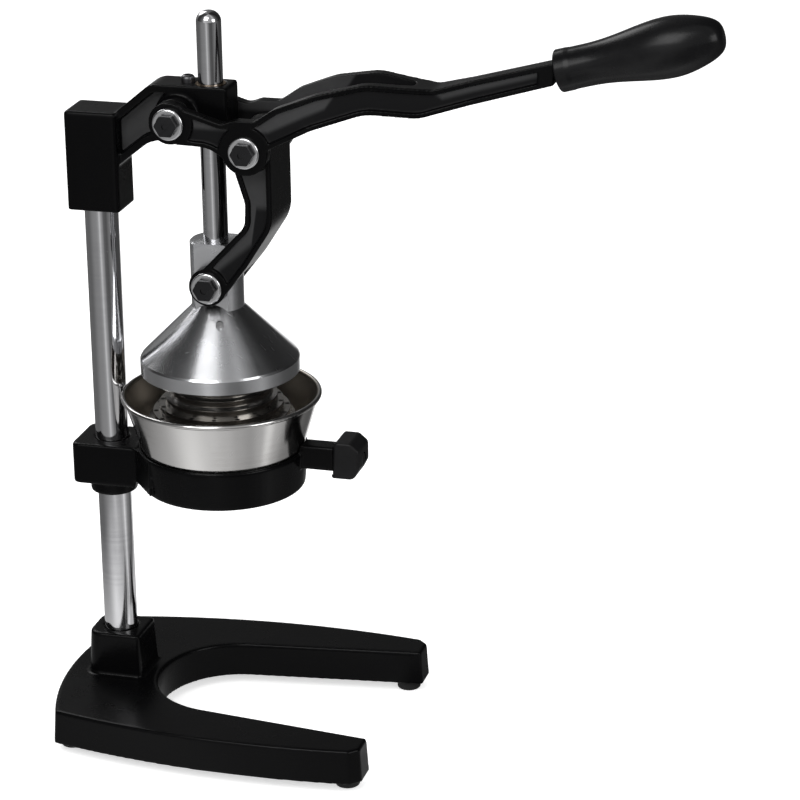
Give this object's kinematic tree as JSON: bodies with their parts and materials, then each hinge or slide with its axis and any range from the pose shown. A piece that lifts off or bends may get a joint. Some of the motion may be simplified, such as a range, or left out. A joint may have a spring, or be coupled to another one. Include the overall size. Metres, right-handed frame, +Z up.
{
  "type": "lever citrus juice press",
  "caption": "Hand lever citrus press: a forked lever and curved yoke drive a cone down over a strainer and bowl held by a ring on a round column.",
  "frame": {"origin": "on the floor under the middle of the overall bounding box", "axes": "+X from the column towards the handle, +Y across the press, +Z up"},
  "size_m": [0.4377, 0.189, 0.4997],
  "materials": {
    "black_enamel": "gloss black enamel on cast iron",
    "bright_zinc": "bright zinc plated steel",
    "black_oxide": "dark grey oxide on steel",
    "foot_rubber": "matt black rubber",
    "bright_screw": "zinc plated steel",
    "column_chrome": "polished chrome plate",
    "rod_chrome": "polished chrome plate",
    "bush_bronze": "plain bearing bronze",
    "grip_block_plastic": "satin black plastic",
    "grip_plastic": "gloss black plastic",
    "bowl_stainless": "polished stainless steel sheet",
    "strainer_stainless": "polished cast aluminium",
    "cone_aluminium": "fine turned and polished aluminium"
  },
  "bodies": {
    "frame": {"base_casting": "black_enamel", "rubber_feet": "foot_rubber", "foot_screws": "bright_screw", "column": "column_chrome", "column_washer": "bright_zinc", "column_bolt": "black_oxide", "socket_set_screw": "black_oxide", "head_casting": "black_enamel", "head_set_screw": "black_oxide", "guide_bush": "bush_bronze", "guide_screw": "black_oxide", "main_pivot_bolt": "black_oxide", "main_pivot_washers": "bright_zinc", "main_pivot_nut": "black_oxide", "ring_bracket": "black_enamel", "bracket_set_screw": "black_oxide", "front_grip": "grip_block_plastic", "front_grip_screw": "black_oxide", "juice_bowl": "bowl_stainless", "strainer": "strainer_stainless"},
    "lever": {"lever_casting": "black_enamel", "handle_grip": "grip_plastic", "link_pivot_bolts": "black_oxide", "link_pivot_washers": "bright_zinc", "link_pivot_nuts": "black_oxide"},
    "yoke": {"connecting_yoke": "black_enamel", "plunger_pivot_bolts": "black_oxide", "plunger_pivot_washers": "bright_zinc"},
    "plunger": {"plunger_rod": "rod_chrome", "press_cone": "cone_aluminium", "rod_lock_screw": "bright_screw"}
  },
  "joints": [
    {"name": "lever_hinge", "type": "hinge", "parent": "frame", "child": "lever", "pos_m": [-0.12432, 0, 0.4205], "axis": [0, -1, 0], "range_deg": [0, 65]},
    {"name": "yoke_hinge", "type": "hinge", "parent": "lever", "child": "yoke", "pos_m": [-0.07532, 0, 0.405], "axis": [0, -1, 0], "range_deg": [-56.43, 0]},
    {"name": "plunger_slide", "type": "slide", "parent": "frame", "child": "plunger", "axis": [0, 0, 1], "range_m": [0, 0.04986]}
  ],
  "couplings": [
    {"joint": "yoke_hinge", "follows": "lever_hinge", "ratio": -0.86815},
    {"joint": "plunger_slide", "follows": "lever_hinge", "m_per_rad": 0.043946}
  ]
}
